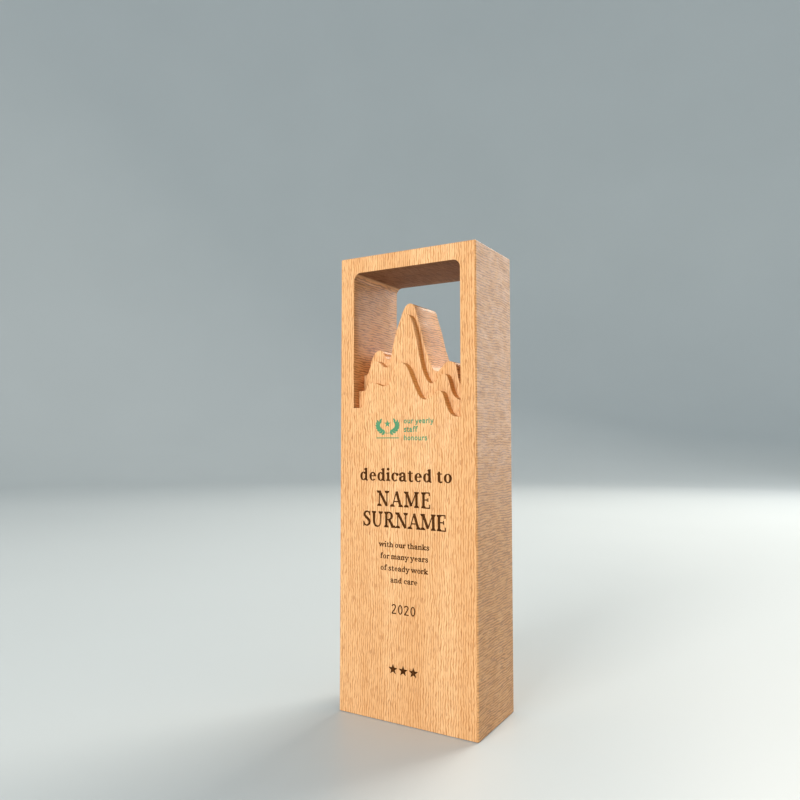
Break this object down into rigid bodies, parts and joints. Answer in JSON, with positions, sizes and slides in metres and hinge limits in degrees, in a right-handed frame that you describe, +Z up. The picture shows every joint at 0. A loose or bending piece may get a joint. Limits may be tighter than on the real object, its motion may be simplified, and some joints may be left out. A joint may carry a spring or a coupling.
{
  "type": "wooden award plaque",
  "caption": "Tall wooden desk award: an upright block with a window near its top in which a layered mountain range stands in stepped relief.",
  "frame": {"origin": "bottom centre of the block, on the surface that it stands on", "axes": "+Z up the block, -Y towards the front with the relief and the lettering, +X to the viewer's right"},
  "size_m": [0.08, 0.045, 0.24],
  "materials": {
    "beech_face": "fine-sanded flat-sawn beech under a thin matt oil, long grain upright",
    "beech_core": "fine-sanded beech under a thin matt oil, long grain upright",
    "dowel_beech": "plain turned beech rod, unfinished",
    "felt": "pressed wool felt, matt",
    "print_brown": "dark brown screen-print ink on the wood, thin and matt",
    "print_green": "green screen-print ink on the wood, thin and matt"
  },
  "bodies": {
    "root": {"front_board": "beech_face", "middle_board": "beech_face", "ridge_board": "beech_core", "back_board": "beech_core", "dowels": "dowel_beech", "base_pad": "felt"}
  },
  "joints": []
}
